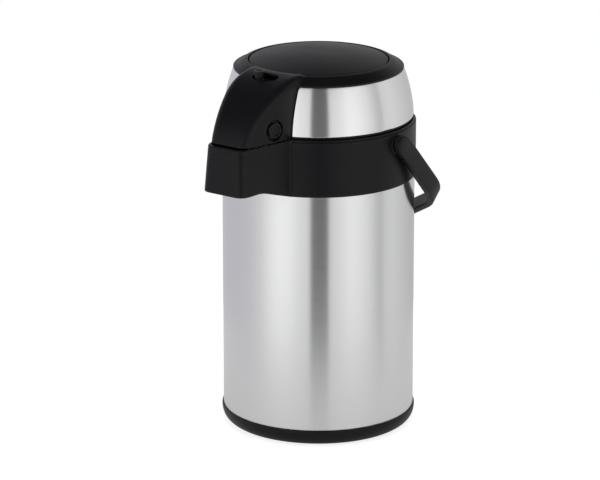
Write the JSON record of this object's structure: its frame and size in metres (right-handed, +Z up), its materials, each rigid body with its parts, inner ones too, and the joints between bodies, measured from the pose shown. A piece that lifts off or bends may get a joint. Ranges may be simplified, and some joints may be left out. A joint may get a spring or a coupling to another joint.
{
  "type": "thermal coffee airpot",
  "caption": "Pump-action vacuum airpot with brushed steel body, black collar with spout, hinged lid with domed button, bail handle and swivel base.",
  "frame": {"origin": "on the flask's axis, at the underside of the swivel base's rubber ring, where the pot rests", "axes": "+Z up along the flask's axis, spout towards -Y, handle pivots on +X and -X"},
  "size_m": [0.1832, 0.2301, 0.3295],
  "materials": {
    "black_plastic": "satin moulded black",
    "handle_plastic": "satin moulded black",
    "button_plastic": "fine-textured satin black",
    "knob_plastic": "smooth black",
    "white_plastic": "natural moulded",
    "brushed_shell": "brushed round the axis",
    "brushed_band": "brushed round the axis",
    "flask_steel": "drawn, satin",
    "screw_steel": "plated",
    "rubber": "matt black",
    "silicone": "translucent milky"
  },
  "bodies": {
    "pot": {"pivot_screw": "screw_steel", "pivot_washer": "screw_steel", "glide_ring": "white_plastic", "bottom_cover": "black_plastic", "base_ring": "black_plastic", "base_screws": "screw_steel", "steel_shell": "brushed_shell", "flask_outer_wall": "flask_steel", "vacuum_seal_cap": "flask_steel", "flask_liner": "flask_steel", "flask_pad": "rubber", "neck_gasket": "silicone", "collar": "black_plastic", "collar_screws": "screw_steel", "spout_under_cover": "black_plastic", "under_cover_screws": "screw_steel", "handle_pins": "black_plastic", "hinge_pin": "screw_steel", "dip_tube": "white_plastic", "tube_stopper": "white_plastic", "stopper_o_ring": "silicone", "ball_cage": "white_plastic", "outlet_pipe": "white_plastic", "pipe_seal": "silicone", "outlet_nozzle": "black_plastic"},
    "turntable": {"turntable": "black_plastic", "base_pad": "rubber"},
    "handle": {"bail_handle": "handle_plastic"},
    "lid": {"lid_cover": "black_plastic", "steel_band": "brushed_band", "lid_base": "black_plastic", "lid_gasket": "silicone", "lid_screws": "screw_steel", "bellows_clamp": "white_plastic", "bellows": "silicone", "pump_spring": "screw_steel", "release_spring_right": "screw_steel", "release_spring_left": "screw_steel"},
    "button": {"pump_button": "button_plastic", "bellows_plate": "white_plastic", "air_valve": "silicone"},
    "lock": {"lock_slider": "knob_plastic"},
    "release_right": {"release_button_right": "knob_plastic"},
    "release_left": {"release_button_left": "knob_plastic"},
    "ball": {"anti_spill_ball": "screw_steel"}
  },
  "joints": [
    {"name": "base_swivel", "type": "hinge", "parent": "pot", "child": "turntable", "pos_m": [0, 0, 0.003], "axis": [0, 0, 1], "continuous": true},
    {"name": "handle_swing", "type": "hinge", "parent": "pot", "child": "handle", "pos_m": [0, 0, 0.259], "axis": [1, 0, 0], "range_deg": [0, 146]},
    {"name": "lid_open", "type": "hinge", "parent": "pot", "child": "lid", "pos_m": [0, 0.086, 0.271], "axis": [-1, 0, 0], "range_deg": [0, 90]},
    {"name": "pump_press", "type": "slide", "parent": "lid", "child": "button", "axis": [0, 0, -1], "range_m": [0, 0.024], "stiffness_N_per_m": 500, "springref_m": -0.012, "deforming": ["bellows", "pump_spring"]},
    {"name": "lock_slide", "type": "slide", "parent": "lid", "child": "lock", "axis": [1, 0, 0], "range_m": [0, 0.012]},
    {"name": "release_right_press", "type": "slide", "parent": "lid", "child": "release_right", "axis": [-0.9718, 0.2359, 0], "range_m": [0, 0.003], "stiffness_N_per_m": 600, "springref_m": -0.002, "deforming": ["release_spring_right"]},
    {"name": "release_left_press", "type": "slide", "parent": "lid", "child": "release_left", "axis": [0.9718, 0.2359, 0], "range_m": [0, 0.003], "stiffness_N_per_m": 600, "springref_m": -0.002, "deforming": ["release_spring_left"]},
    {"name": "ball_rise", "type": "slide", "parent": "pot", "child": "ball", "axis": [0, 0, 1], "range_m": [0, 0.003]}
  ]
}
